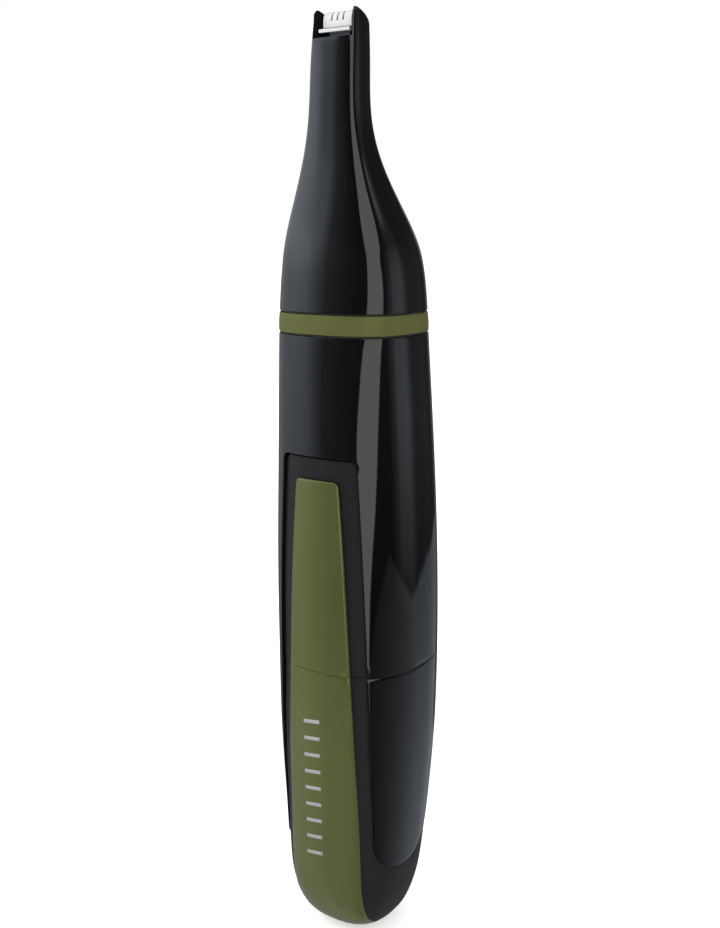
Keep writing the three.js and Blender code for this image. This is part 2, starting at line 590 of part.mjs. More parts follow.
function driveLever() {
  const side = shapeOf([[-2.5, 104.5], [-2.5, 107.5], [-5.2, 120], [-6, 130], [-6, 139.4],
    [-4.6, 139.4], [-4.6, 130.5], [-3.6, 120.5], [-0.9, 108], [-0.9, 104.5]]);
  const nibSides = box(-2, -0.5, -FAR, 0, 136.4, 141).add(box(0.5, 2, -FAR, 0, 136.4, 141));
  const arm = sidePrism(side, -0.9, 0.9).subtract(nibSides);
  const { halfWidth, half, low, root, top } = FORK;
  const block = box(-halfWidth, halfWidth, DRIVE_Y - half, DRIVE_Y + half, low, top);
  const fork = block.subtract(box(-FORK_SLOT, FORK_SLOT, -FAR, FAR, low - 1, root));
  const hub = crossPin(HUB.radius, HUB.front, HUB.back, PIVOT_Z);
  const lever = arm.add(fork).add(hub).subtract(crossPin(HUB.bore, -FAR, FAR, PIVOT_Z));
  piece("drive_lever", lever, WHITE_PLASTIC);
}

// ---------------------------------------------------------------- comb and blade
function slots(width, low, high) {
  const cut = (k) => box(k * TOOTH_PITCH - width / 2, k * TOOTH_PITCH + width / 2, -FAR, FAR, low, high);
  return [-1, 0, 1].map(cut).reduce((all, one) => all.add(one));
}

// The comb is a thin arch over the blade, with its rear leg longer than its front leg.
const COMB = { half: 2.4, outer: 1.2, sheet: 0.3, crown: 143.6, front: 142.55, rear: 139.6 };
const RETAINER = { half: 2.6, front: -7.35, back: -6.7, low: 141.85, top: 142.3 };

function fixedComb() {
  const { half, outer, sheet, crown, front, rear } = COMB;
  const arch = new THREE.Shape();
  arch.moveTo(BLADE_Y + outer, rear);
  arch.absarc(BLADE_Y, crown, outer, 0, Math.PI);
  arch.lineTo(BLADE_Y - outer, front);
  arch.lineTo(BLADE_Y - outer + sheet, front);
  arch.absarc(BLADE_Y, crown, outer - sheet, Math.PI, 0, true);
  arch.lineTo(BLADE_Y + outer - sheet, rear);
  piece("fixed_comb", sidePrism(arch, -half, half).subtract(slots(0.3, front + 0.9, TOP + 1)), STEEL);
  const bar = RETAINER;
  piece("comb_retainer", box(-bar.half, bar.half, bar.front, bar.back, bar.low, bar.top), STEEL);
}

function movingBlade() {
  const half = CARRIER_HALF;
  const plate = (depth, z0, z1) => box(-half, half, BLADE_Y - depth, BLADE_Y + depth, z0, z1);
  piece("moving_blade", plate(0.62, 140.9, 144.2).subtract(slots(0.4, 142.6, TOP)), STEEL);
  const nibPocket = box(-0.75, 0.75, -FAR, 0, 138, 139.8);
  piece("cutter_carrier", plate(0.75, 138.2, 140.8).subtract(nibPocket), WHITE_PLASTIC);
  const frame = box(-2.5, 2.5, -7.2, -4.1, 137.2, 137.5).subtract(box(-1.5, 1.5, -6.5, -4.4, 137, 138));
  const tab = (x) => box(x - 0.3, x + 0.3, BLADE_Y - 1.6, BLADE_Y + 0.3, 137.3, 138.1);
  piece("blade_spring", frame.add(tab(-2)).add(tab(2)), SPRING_STEEL);
}

handleShell();
handleInlays();
powerSwitch();
batteryBay();
motor();
rotor();
wires();
spigot();
batteryCover();
coverContacts();
neckHousing();
leverBridge();
driveLever();
fixedComb();
movingBlade();

export default objects;
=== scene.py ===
"""The looks of the hair trimmer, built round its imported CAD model.

The outer pieces are laid out again as fine, smooth meshes on the same body outline, the battery is turned
again as a smooth can in its wrap, and everything else keeps its CAD shape with a material of its own.
Lengths are in millimetres until a mesh is made.
"""

import functools
import json
import math

import bmesh
import bpy
import numpy as np
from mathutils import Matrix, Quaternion, Vector


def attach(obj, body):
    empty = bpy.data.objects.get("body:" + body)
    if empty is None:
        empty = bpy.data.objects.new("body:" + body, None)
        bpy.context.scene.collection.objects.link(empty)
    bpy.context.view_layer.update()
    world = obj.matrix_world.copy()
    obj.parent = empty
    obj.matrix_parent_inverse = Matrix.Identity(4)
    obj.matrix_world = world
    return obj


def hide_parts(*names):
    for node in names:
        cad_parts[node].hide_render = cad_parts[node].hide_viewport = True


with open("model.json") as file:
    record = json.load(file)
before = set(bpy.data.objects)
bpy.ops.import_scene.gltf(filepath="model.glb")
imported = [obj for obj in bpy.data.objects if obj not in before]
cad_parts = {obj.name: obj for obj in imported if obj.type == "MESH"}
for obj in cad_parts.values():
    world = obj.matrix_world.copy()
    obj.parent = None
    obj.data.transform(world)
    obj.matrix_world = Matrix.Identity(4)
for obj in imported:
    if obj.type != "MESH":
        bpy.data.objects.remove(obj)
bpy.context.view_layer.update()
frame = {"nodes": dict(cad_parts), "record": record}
MM = 0.001

# ---------------------------------------------------------------- driving dimensions
# Outline of the body: height, half width, front face, back face, squareness of the section.
STATIONS = [
    (0, 3.5, -3.4, 3.6, 2.4),
    (0.7, 5.5, -5.4, 5.5, 2.45),
    (2, 7.3, -7.3, 7.3, 2.5),
    (5, 9, -9.35, 8.7, 2.5),
    (9, 10.1, -10.5, 9.7, 2.5),
    (14, 10.6, -10.85, 10.45, 2.55),
    (22, 11.15, -11.1, 11.3, 2.55),
    (34, 11.8, -11.6, 12, 2.6),
    (48, 12, -11.9, 12.2, 2.6),
    (64, 11.85, -12.1, 11.6, 2.65),
    (80, 11.35, -12.15, 10.6, 2.65),
    (94, 10.75, -12.2, 9.3, 2.7),
    (100, 10.45, -12.05, 8.6, 2.8),
    (106, 10.1, -11.7, 7.9, 2.9),
    (112, 9.3, -11.2, 6.4, 3),
    (118, 7.35, -10.2, 2.7, 3.5),
    (124, 5.4, -9.35, -0.8, 4),
    (130, 4.25, -9, -2.45, 4.2),
    (138, 3.9, -8.65, -2.7, 4.4),
    (145, 3.55, -8, -2.7, 4.5),
]
SEAM = 47.4  # between the battery cover and the handle
RING_LOW, RING_HIGH = 99.4, 102.6
LINE = 0.15  # half of a shut line
SEAM_LINE = 0.035  # half of the hairline gap between cover and handle
FRAME_TOP = 81.3
GREEN_TOP = 77.9
FRAME_EDGE = [(0, 8.45), (20.4, 8.45), (34, 8.35), (45, 8.05), (56, 7.75), (68, 7.25), (FRAME_TOP, 6.5)]
GREEN_EDGE = [(0, 6.5), (8, 6.65), (20, 6.55), (35, 6.15), (50, 5.5), (64, 4.8), (GREEN_TOP, 3.8)]
REAR_EDGE = [(0, 10), (20.4, 10), (26, 9.4), (34, 8.5), (45, 7.5), (56, 6.7), (FRAME_TOP, 5.6)]
# Round lower end of the glossy side panels: fuller at the front than at the rear.
SIDE_ARC_Y, SIDE_ARC_Z, SIDE_ARC_REACH, SIDE_ARC_DROP = -1.0, 20.4, 7.5, 7.2
SIDE_ARC_FRONT_POWER, SIDE_ARC_REAR_POWER = 2.8, 1.8
FRAME_STEP_DEEP, FRAME_STEP_SHALLOW, FRAME_STEP_LOW = 0.55, 0.1, 4
NOTCH_FLOOR = 141.0
TIP_TOP, TIP_PEAK_Y = 145.0, -6.7
FINE_EDGE = 0.03  # rounding of the edges of the thin inlays


# ---------------------------------------------------------------- the body's smooth skin
def smooth_curve(knots, values):
    """A function whose curve passes through the points with continuous curvature."""
    knots, values = np.array(knots, float), np.array(values, float)
    step = np.diff(knots)
    rise = np.diff(values) / step
    last = len(knots) - 1
    system, right = np.eye(last + 1), np.zeros(last + 1)
    for i in range(1, last):
        system[i, i - 1 : i + 2] = step[i - 1], 2 * (step[i - 1] + step[i]), step[i]
        right[i] = 6 * (rise[i] - rise[i - 1])
    bend = np.linalg.solve(system, right)

    def at(x):
        i = int(np.clip(np.searchsorted(knots, x) - 1, 0, last - 1))
        h, below, above = step[i], x - knots[i], knots[i + 1] - x
        curved = (bend[i] * above**3 + bend[i + 1] * below**3) / (6 * h)
        low = (values[i] / h - bend[i] * h / 6) * above
        high = (values[i + 1] / h - bend[i + 1] * h / 6) * below
        return curved + low + high

    return at


# The curves run over the square root of height, so that the round base keeps its shape.
ROOTS = [math.sqrt(row[0]) for row in STATIONS]
CURVES = [smooth_curve(ROOTS, [row[k] for row in STATIONS]) for k in range(1, 5)]


@functools.lru_cache(maxsize=None)
def section(z):
    """Half width, half depth, middle in Y and squareness of the body at height z."""
    half, front, back, power = (curve(math.sqrt(max(z, 0))) for curve in CURVES)
    return half, (back - front) / 2, (back + front) / 2, power


def skin(z, angle, depth=0.0):
    """Point of the body's skin at height z in a direction, measured from +X, drawn in by depth."""
    half, deep, middle, power = section(z)
    c, s = math.cos(angle), math.sin(angle)
    reach = (abs(c / (half - depth)) ** power + abs(s / (deep - depth)) ** power) ** (-1 / power)
    return (reach * c, middle + reach * s, z)


def face_y(x, z, side, depth=0.0):
    """Y of the front (side -1) or back (side 1) of the skin at x."""
    half, deep, middle, power = section(z)
    share = min(abs(x) / (half - depth), 1.0)
    return middle + side * (deep - depth) * (1 - share**power) ** (1 / power)


def side_x(y, z, depth=0.0):
    """X of the right-hand side of the skin at y."""
    half, deep, middle, power = section(z)
    share = min(abs(y - middle) / (deep - depth), 1.0)
    return (half - depth) * (1 - share**power) ** (1 / power)


def edge_angle(width, z, side):
    """Direction of the skin point at x = width on the front (side -1) or back (side 1)."""
    return math.atan2(face_y(width, z, side) - section(z)[2], width)


def edge_curve(rows):
    return smooth_curve([row[0] for row in rows], [row[1] for row in rows])


frame_edge, green_edge, rear_edge = (edge_curve(rows) for rows in (FRAME_EDGE, GREEN_EDGE, REAR_EDGE))


def spaced(low, high, pitch):
    """Evenly spaced values from low to high, about pitch apart."""
    return np.linspace(low, high, max(2, int(round((high - low) / pitch)) + 1))


def frame_depth(z):
    """How far the front frame lies under the body line: most at the switch, least at the base."""
    share = np.clip((z - FRAME_STEP_LOW) / (SEAM - FRAME_STEP_LOW), 0, 1)
    return FRAME_STEP_SHALLOW + (FRAME_STEP_DEEP - FRAME_STEP_SHALLOW) * share


# ---------------------------------------------------------------- mesh helpers
MERGE_DISTANCE = 0.002
EDGE_SEGMENTS = 3


def add_grid(bm, rows, wrap=False):
    """Adds rows of points as a grid of quads. Points that coincide are merged afterwards."""
    verts = [[bm.verts.new(p) for p in row] for row in rows]
    count = len(rows[0])
    for low, high in zip(verts, verts[1:]):
        for k in range(count if wrap else count - 1):
            n = (k + 1) % count
            bm.faces.new((low[k], low[n], high[n], high[k]))
    return verts


def make_object(name, bm, material):
    """An object in metres from a bmesh in millimetres, smooth shaded."""
    bmesh.ops.remove_doubles(bm, verts=bm.verts, dist=MERGE_DISTANCE)
    bmesh.ops.dissolve_degenerate(bm, edges=bm.edges, dist=MERGE_DISTANCE / 4)
    bmesh.ops.scale(bm, vec=(MM, MM, MM), verts=bm.verts)
    mesh = bpy.data.meshes.new(name)
    bm.to_mesh(mesh)
    bm.free()
    for polygon in mesh.polygons:
        polygon.use_smooth = True
    made = bpy.data.objects.new(name, mesh)
    made.data.materials.append(material)
    bpy.context.scene.collection.objects.link(made)
    return made


def give_thickness(piece, wall):
    """Turns an open skin into a wall that reaches inwards."""
    solid = piece.modifiers.new("wall", "SOLIDIFY")
    solid.thickness = wall * MM
    solid.offset = -1
    return piece


def round_edges(piece, width, angle=40):
    """Rounds the edges that are sharper than the angle, in degrees."""
    bevel = piece.modifiers.new("edges", "BEVEL")
    bevel.width = width * MM
    bevel.segments = EDGE_SEGMENTS
    bevel.limit_method = "ANGLE"
    bevel.angle_limit = math.radians(angle)
    normals = piece.modifiers.new("normals", "WEIGHTED_NORMAL")
    normals.keep_sharp = True
    return piece


def place(piece, body, slot, *nodes):
    """The piece moves with its body and stands for its CAD nodes, which it hides. The slot is not used."""
    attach(piece, body)
    if nodes:
        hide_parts(*nodes)
    return piece


# ---------------------------------------------------------------- material helpers
NOISE_LOW, NOISE_HIGH = 0.3, 0.7  # most of a noise texture's values lie between these


def principled(name, color, roughness, metallic=0.0, ior=1.5):
    material = bpy.data.materials.new(name)
    material.use_nodes = True
    shader = material.node_tree.nodes["Principled BSDF"]
    shader.inputs["Base Color"].default_value = (*color, 1)
    shader.inputs["Roughness"].default_value = roughness
    shader.inputs["Metallic"].default_value = metallic
    shader.inputs["IOR"].default_value = ior
    return material


def noise(material, scale, detail=4.0, stretch=(1, 1, 1)):
    """A noise texture in the object's own metres. Scale is in bumps per metre."""
    nodes, links = material.node_tree.nodes, material.node_tree.links
    coordinates = nodes.new("ShaderNodeTexCoord")
    mapping = nodes.new("ShaderNodeMapping")
    mapping.inputs["Scale"].default_value = stretch
    texture = nodes.new("ShaderNodeTexNoise")
    texture.inputs["Scale"].default_value = scale
    texture.inputs["Detail"].default_value = detail
    texture.inputs["Roughness"].default_value = 0.5
    links.new(coordinates.outputs["Object"], mapping.inputs["Vector"])
    links.new(mapping.outputs["Vector"], texture.inputs["Vector"])
    return texture.outputs["Fac"]


def vary_color(material, signal, low, high):
    nodes, links = material.node_tree.nodes, material.node_tree.links
    ramp = nodes.new("ShaderNodeValToRGB")
    ramp.color_ramp.elements[0].position = NOISE_LOW
    ramp.color_ramp.elements[1].position = NOISE_HIGH
    ramp.color_ramp.elements[0].color = (*low, 1)
    ramp.color_ramp.elements[1].color = (*high, 1)
    links.new(signal, ramp.inputs["Fac"])
    links.new(ramp.outputs["Color"], nodes["Principled BSDF"].inputs["Base Color"])


def vary_roughness(material, signal, low, high):
    nodes, links = material.node_tree.nodes, material.node_tree.links
    reach = nodes.new("ShaderNodeMapRange")
    reach.inputs["From Min"].default_value = NOISE_LOW
    reach.inputs["From Max"].default_value = NOISE_HIGH
    reach.inputs["To Min"].default_value = low
    reach.inputs["To Max"].default_value = high
    links.new(signal, reach.inputs["Value"])
    links.new(reach.outputs["Result"], nodes["Principled BSDF"].inputs["Roughness"])


def add_bump(material, signal, height, strength=1.0):
    """Height is in millimetres."""
    nodes, links = material.node_tree.nodes, material.node_tree.links
    bump = nodes.new("ShaderNodeBump")
    bump.inputs["Strength"].default_value = strength
    bump.inputs["Distance"].default_value = height * MM
    links.new(signal, bump.inputs["Height"])
    links.new(bump.outputs["Normal"], nodes["Principled BSDF"].inputs["Normal"])


def tint(color, factor):
    return tuple(min(1.0, value * factor) for value in color)


# ---------------------------------------------------------------- materials
def gloss_black():
    material = principled("gloss_black", (0.0016, 0.0018, 0.002), 0.025, ior=1.5)
    vary_color(material, noise(material, 60), (0.0013, 0.0015, 0.0017), (0.002, 0.0022, 0.0025))
    vary_roughness(material, noise(material, 140, detail=6), 0.018, 0.035)
    add_bump(material, noise(material, 45, detail=1), 0.003, 0.15)
    return material


def soft_charcoal():
    color = (0.0078, 0.0088, 0.009)
    material = principled("soft_charcoal", color, 0.55, ior=1.33)
    vary_color(material, noise(material, 90, detail=5), tint(color, 0.9), tint(color, 1.1))
    vary_roughness(material, noise(material, 400), 0.5, 0.62)
    add_bump(material, noise(material, 5200, detail=3), 0.012, 0.6)
    return material


def olive(name, color, roughness, metallic, ior=1.3):
    """Olive paint with a little metal flake in it."""
    material = principled(name, color, roughness, metallic=metallic, ior=ior)
    vary_color(material, noise(material, 70, detail=5), tint(color, 0.97), tint(color, 1.03))
    vary_roughness(material, noise(material, 300), roughness - 0.03, roughness + 0.05)
    add_bump(material, noise(material, 6500, detail=2), 0.004, 0.3)
    return material


def moulded(name, color, roughness=0.5, ior=1.5):
    """Plain injection-moulded plastic with flow marks and a fine matt texture."""
    material = principled(name, color, roughness, ior=ior)
    flow = noise(material, 160, detail=4, stretch=(1, 1, 0.25))
    vary_color(material, flow, tint(color, 0.88), tint(color, 1.1))
    vary_roughness(material, noise(material, 700), roughness - 0.06, roughness + 0.08)
    add_bump(material, noise(material, 4000, detail=3), 0.004, 0.25)
    return material


def metal(name, color, roughness, brush=(1, 1, 0.04), grain=2600):
    """Metal with a brushed grain along one direction."""
    material = principled(name, color, roughness, metallic=1.0)
    lines = noise(material, grain, detail=3, stretch=brush)
    vary_color(material, lines, tint(color, 0.86), tint(color, 1.06))
    vary_roughness(material, lines, roughness * 0.7, roughness * 1.5)
    add_bump(material, lines, 0.004, 0.35)
    return material


def rubber():
    material = principled("rubber", (0.012, 0.012, 0.012), 0.7)
    vary_color(material, noise(material, 500), (0.009, 0.009, 0.009), (0.018, 0.018, 0.018))
    vary_roughness(material, noise(material, 900), 0.6, 0.8)
    add_bump(material, noise(material, 3500), 0.01, 0.5)
    return material


MATERIALS = {
    "gloss_black": gloss_black(),
    "soft_charcoal": soft_charcoal(),
    # Painted shade: the prongs' faces across the notch get a duller, less reflective copy of the black
    # plastic, so the notch stays dark.
    "notch_painted_shade": moulded("notch_painted_shade", (0.004, 0.0045, 0.0045), 0.6, ior=1.12),
    "olive": olive("olive", (0.105, 0.115, 0.041), 0.16, 0.5),
    "inner_plastic": moulded("inner_plastic", (0.03, 0.032, 0.034)),
    "white_plastic": moulded("white_plastic", (0.62, 0.6, 0.54), 0.42),
    "steel": metal("steel", (0.72, 0.73, 0.74), 0.22),
    "spring_steel": metal("spring_steel", (0.55, 0.55, 0.56), 0.3),
    "copper": metal("copper", (0.72, 0.4, 0.22), 0.34),
    "magnet": metal("magnet", (0.09, 0.09, 0.1), 0.55, brush=(1, 1, 1)),
    "rubber": rubber(),
    "battery_wrap": moulded("battery_wrap", (0.3, 0.31, 0.33), 0.3),
    "board": moulded("board", (0.16, 0.11, 0.04), 0.6),
    "red_wire": moulded("red_wire", (0.38, 0.02, 0.02), 0.45),
    "black_wire": moulded("black_wire", (0.012, 0.012, 0.012), 0.45),
}
RING_OLIVE = olive("ring_olive", (0.093, 0.098, 0.034), 0.38, 0.2, ior=1.12)
COMB_STEEL = moulded("comb_steel", (0.62, 0.62, 0.62), 0.35)
SILVER_INK = moulded("silver_ink", (0.27, 0.28, 0.27), 0.4)
# Painted shade: the moving blade wears a much darker copy of the steel, for where it sits in shade behind the
# comb.
SHADED_BLADE_STEEL = metal("blade_steel_painted_shade", (0.2, 0.2, 0.21), 0.4)
OWN_FINISH = {"fixed_comb": COMB_STEEL, "comb_retainer": COMB_STEEL, "moving_blade": SHADED_BLADE_STEEL}
SLOT_OF = {row["node"]: row["material_slot"] for row in frame["record"]["subparts"]}


def dress_cad_nodes():
    """Every CAD node wears its slot's material, or a finish of its own."""
    for name, node in frame["nodes"].items():
        node.data.materials.clear()
        node.data.materials.append(OWN_FINISH.get(name) or MATERIALS[SLOT_OF[name]])


# ---------------------------------------------------------------- handle
FULL_TURN = np.linspace(0, 2 * math.pi, 145)[:-1]
HOUSING_SIDE_COLUMNS, STRIP_COLUMNS = 48, 28
CORNER = 1.2  # radius of the frame's top corners
HANDLE_LOW = SEAM + SEAM_LINE
HOUSING_WALL, FRAME_WALL, GRIP_WALL, SLIDER_WALL = 1.9, 0.75, 1.2, 0.48
HOUSING_EDGE = 0.07
HOUSING_PITCH, STRIP_PITCH = 1.1, 1.2  # height of a row of the mesh
GRIP_DEPTH, GRIP_ROLL = 0.05, 0.2
GREEN_DEPTH, GREEN_ROLL = 0.0, 0.28
SLIDER_CORNER = 0.9


def corner_rows(edge, top, low, radius, pitch):
    """(height, half width) rows from low to top, with the top corner rounded."""
    straight = [(z, edge(z)) for z in spaced(low, top - radius, pitch)]
    width = edge(top - radius / 2)
    turn = [math.radians(a) for a in (15, 30, 45, 60, 75, 90)]
    rounded = [(top - radius + radius * math.sin(a), width - radius + radius * math.cos(a)) for a in turn]
    straight[-1] = (straight[-1][0], width)
    return straight + rounded


def housing_angles(front_width, rear_width, z):
    """Directions round the right-hand side from the front opening to the rear one."""
    low, high = edge_angle(front_width, z, -1), edge_angle(rear_width, z, 1)
    return np.linspace(low, high, HOUSING_SIDE_COLUMNS + 1)


def main_housing():
    bm = bmesh.new()
    front = corner_rows(frame_edge, FRAME_TOP + LINE, HANDLE_LOW, CORNER, HOUSING_PITCH)
    rear = corner_rows(rear_edge, FRAME_TOP + LINE, HANDLE_LOW, CORNER, HOUSING_PITCH)
    sides = []
    for (z, front_width), (_, rear_width) in zip(front, rear):
        angles = housing_angles(front_width + LINE, rear_width + LINE, z)
        sides.append([skin(z, a) for a in angles])
    for mirror in (1, -1):
        rows = [[(mirror * x, y, z) for x, y, z in row] for row in sides]
        if mirror < 0:
            rows = [row[::-1] for row in rows]
        add_grid(bm, rows)
    right = housing_angles(front[-1][1] + LINE, rear[-1][1] + LINE, front[-1][0])
    left = math.pi - right[::-1]
    back = np.linspace(right[-1], left[0], 15)[1:-1]
    near = np.linspace(left[-1], right[0] + 2 * math.pi, 17)[1:-1]
    around = [*right, *back, *left, *near]
    heights = spaced(front[-1][0], RING_LOW - LINE, 1.0)
    add_grid(bm, [[skin(z, a) for a in around] for z in heights], wrap=True)
    piece = make_object("housing_shell", bm, MATERIALS["gloss_black"])
    round_edges(give_thickness(piece, HOUSING_WALL), HOUSING_EDGE)
    place(piece, "handle", "gloss_black", "main_housing")


def edge_roll(distance, radius):
    """How far a rounded edge has dropped at a distance in from it."""
    short = max(radius - distance, 0.0)
    return radius - math.sqrt(radius * radius - short * short)


def strip(name, rows, side, depth, material, roll=0.12):
    """A strip over the front (side -1) or back (side 1) whose rows are (height, half width).

    Its sides and its top are rounded over by roll, and its low end, at the seam, stays square.
    """
    bm = bmesh.new()
    top = rows[-1][0]
    grid = []
    for z, width in rows:
        row = []
        for u in np.sin(np.linspace(-math.pi / 2, math.pi / 2, STRIP_COLUMNS + 1)):
            drop = edge_roll(min(width * (1 - abs(u)), top - z), roll)
            row.append((width * u, face_y(width * u, z, side, depth(z) + drop), z))
        grid.append(row if side < 0 else row[::-1])
    add_grid(bm, grid)
    return make_object(name, bm, material)


def front_frame():
    rows = corner_rows(frame_edge, FRAME_TOP - LINE, HANDLE_LOW, CORNER, STRIP_PITCH)
    rows = [(z, width - LINE) for z, width in rows]
    piece = strip("slider_frame", rows, -1, frame_depth, MATERIALS["soft_charcoal"])
    round_edges(give_thickness(piece, FRAME_WALL), FINE_EDGE)
    place(piece, "handle", "soft_charcoal", "front_frame")


def rear_grip():
    rows = corner_rows(rear_edge, FRAME_TOP - LINE, HANDLE_LOW, CORNER, STRIP_PITCH)
    rows = [(z, width - LINE) for z, width in rows]
    charcoal = MATERIALS["soft_charcoal"]
    piece = strip("back_grip", rows, 1, lambda z: GRIP_DEPTH, charcoal, roll=GRIP_ROLL)
    round_edges(give_thickness(piece, GRIP_WALL), FINE_EDGE)
    place(piece, "handle", "soft_charcoal", "rear_grip")


def power_slider():
    rows = corner_rows(green_edge, GREEN_TOP, HANDLE_LOW, SLIDER_CORNER, STRIP_PITCH)
    piece = strip("thumb_slider", rows, -1, lambda z: GREEN_DEPTH, MATERIALS["olive"], roll=GREEN_ROLL)
    round_edges(give_thickness(piece, SLIDER_WALL), FINE_EDGE)
    place(piece, "power_switch", "olive", "power_slider")


# ---------------------------------------------------------------- battery
BATTERY_RADIUS, BATTERY_LOW, BATTERY_SHOULDER = 7.1, 9.0, 58.5
BATTERY_NUB, BATTERY_TOP = 2.7, 59.5
WRAP_THICKNESS = 0.08
WRAP_EDGE = 0.5  # height of bare can at each end
CAN_ROUND, CAN_SLOPE = 0.5, 0.15  # the can's rounded rims, in two facets
NUB_ROUND = 0.2


def lathe(name, profile_rows, material):
    """A closed turned body from (radius, height) rows, up the outside from the bottom."""
    bm = bmesh.new()
    rings = [[(r * math.cos(a), r * math.sin(a), z) for a in FULL_TURN] for r, z in profile_rows]
    verts = add_grid(bm, rings, wrap=True)
    bm.faces.new(verts[0][::-1])
    bm.faces.new(verts[-1])
    return make_object(name, bm, material)


def battery():
    """The steel can with its positive nub, and the printed wrap round it."""
    radius, low, shoulder = BATTERY_RADIUS - WRAP_THICKNESS, BATTERY_LOW, BATTERY_SHOULDER
    bottom_rim = [(radius - CAN_ROUND, low), (radius - CAN_SLOPE, low + CAN_SLOPE), (radius, low + CAN_ROUND)]
    top_rim = [(r, low + shoulder - z) for r, z in bottom_rim[::-1]]
    nub = [(BATTERY_NUB, shoulder), (BATTERY_NUB, BATTERY_TOP - NUB_ROUND)]
    can = [*bottom_rim, *top_rim, *nub, (BATTERY_NUB - NUB_ROUND, BATTERY_TOP)]
    place(lathe("battery_can", can, MATERIALS["steel"]), "handle", "battery_wrap", "aa_battery")
    wrap = [(BATTERY_RADIUS, low + WRAP_EDGE), (BATTERY_RADIUS, shoulder - WRAP_EDGE)]
    place(lathe("battery_label", wrap, MATERIALS["battery_wrap"]), "handle", "battery_wrap")


# ---------------------------------------------------------------- battery cover
COVER_TOP = SEAM - SEAM_LINE
BOOT_DEPTH, BOOT_REAR_DEPTH = 0.1, 0.05
BOOT_UNDER_PANEL = 0.65  # depth of the boot's surface below the glossy side panels
BOOT_WALL, BOOT_FLOOR = 1.7, 2.2
BOOT_EDGE = 0.12
PANEL_WALL, SIDE_WALL, SIDE_EDGE = 0.42, 0.6, 0.06
PANEL_END_Y = -0.8  # where the green panel ends under the base


def ease(value, low, high):
    share = min(max((value - low) / (high - low), 0.0), 1.0)
    return share * share * (3 - 2 * share)


def boot_depth(z, angle):
    """Depth of the boot's surface: shallow where it shows, deeper under the panels that cover it."""
    x, y, _ = skin(z, angle)
    inside = 1.0
    if z < SIDE_ARC_Z:
        power = SIDE_ARC_FRONT_POWER if y < SIDE_ARC_Y else SIDE_ARC_REAR_POWER
        across = abs(y - SIDE_ARC_Y) / SIDE_ARC_REACH
        down = (SIDE_ARC_Z - z) / SIDE_ARC_DROP
        inside = ease(SIDE_ARC_DROP * (1 - (across**power + down**power) ** (1 / power)), 0.1, 0.5)
    if y < SIDE_ARC_Y:
        covered = ease(abs(x) - frame_edge(z), 0.1, 0.4) * inside
        open_depth = frame_depth(z)
    else:
        covered = ease(abs(x) - rear_edge(z), 0.1, 0.4) * inside
        open_depth = BOOT_REAR_DEPTH
    near_front = ease(-y, 0.5, 3.0)
    open_depth = BOOT_DEPTH * (1 - near_front) + open_depth * near_front
    return open_depth + (BOOT_UNDER_PANEL - open_depth) * covered


def cover_boot():
    bm = bmesh.new()
    heights = [*(COVER_TOP * np.linspace(0, 1, 60) ** 1.7)]
    outside = [[skin(z, a, boot_depth(z, a)) for a in FULL_TURN] for z in heights]
    middle = section(0)[2]
    base = [[(s * x, middle + s * (y - middle), 0) for x, y, _ in outside[0]]
            for s in (0.02, 0.4, 0.75, 0.95)]
    inside_heights = [z for z in heights[::-1] if z > BOOT_FLOOR]
    inside = [[skin(z, a, BOOT_WALL) for a in FULL_TURN] for z in inside_heights]
    floor_z = inside_heights[-1]
    floor_middle = section(floor_z)[2]
    floor = [[(s * x, floor_middle + s * (y - floor_middle), floor_z) for x, y, _ in inside[-1]]
             for s in (0.7, 0.35, 0.02)]
    verts = add_grid(bm, [*base, *outside, *inside, *floor], wrap=True)
    bm.faces.new(verts[0][::-1])
    bm.faces.new(verts[-1])
    piece = make_object("boot_shell", bm, MATERIALS["soft_charcoal"])
    round_edges(piece, BOOT_EDGE, angle=60)
    place(piece, "battery_cover", "soft_charcoal", "cover_boot")


def panel_low(share):
    """Lowest height of the green panel on the line that is share of its half width from the middle."""
    low, high = 0.3, 6.0
    reaches_end = face_y(share * green_edge(low), low, -1) <= PANEL_END_Y
    if reaches_end and section(low)[0] > abs(share) * green_edge(low):
        return low
    for _ in range(30):
        z = (low + high) / 2
        width = share * green_edge(z)
        beyond = section(z)[0] <= abs(width) or face_y(width, z, -1) > PANEL_END_Y
        low, high = (z, high) if beyond else (low, z)
    return high


def cover_panel():
    bm = bmesh.new()
    shares = np.sin(np.linspace(-math.pi / 2, math.pi / 2, 33))
    lows = [panel_low(u) for u in shares]
    grid = []
    for t in np.linspace(0, 1, 64) ** 2.0:
        row = []
        for u, low in zip(shares, lows):
            z = low + (COVER_TOP - low) * t
            width = u * green_edge(z)
            drop = edge_roll(green_edge(z) * (1 - abs(u)), GREEN_ROLL)
            row.append((width, face_y(width, z, -1, GREEN_DEPTH + drop), z))
        grid.append(row)
    add_grid(bm, grid)
    piece = make_object("green_panel", bm, MATERIALS["olive"])
    round_edges(give_thickness(piece, PANEL_WALL), FINE_EDGE)
    place(piece, "battery_cover", "olive", "cover_panel")


DASH_COUNT, DASH_LOW, DASH_PITCH = 9, 15.0, 2.9  # a plain column of printed dashes
DASH_LEFT, DASH_RIGHT, DASH_HEIGHT, DASH_SLANT = -2.7, 0.4, 0.62, 0.5
INK_THICKNESS, INK_LIFT = 0.01, 0.012


def printed_dashes():
    bm = bmesh.new()
    for count in range(DASH_COUNT):
        low = DASH_LOW + count * DASH_PITCH
        grid = []
        for rise in (0, DASH_HEIGHT):
            row = []
            for t in np.linspace(0, 1, 9):
                x, z = DASH_LEFT + (DASH_RIGHT - DASH_LEFT) * t, low + rise + DASH_SLANT * t
                row.append((x, face_y(x, z, -1, GREEN_DEPTH - INK_LIFT), z))
            grid.append(row)
        add_grid(bm, grid)
    piece = make_object("printed_dashes", bm, SILVER_INK)
    place(give_thickness(piece, INK_THICKNESS), "battery_cover", "olive")


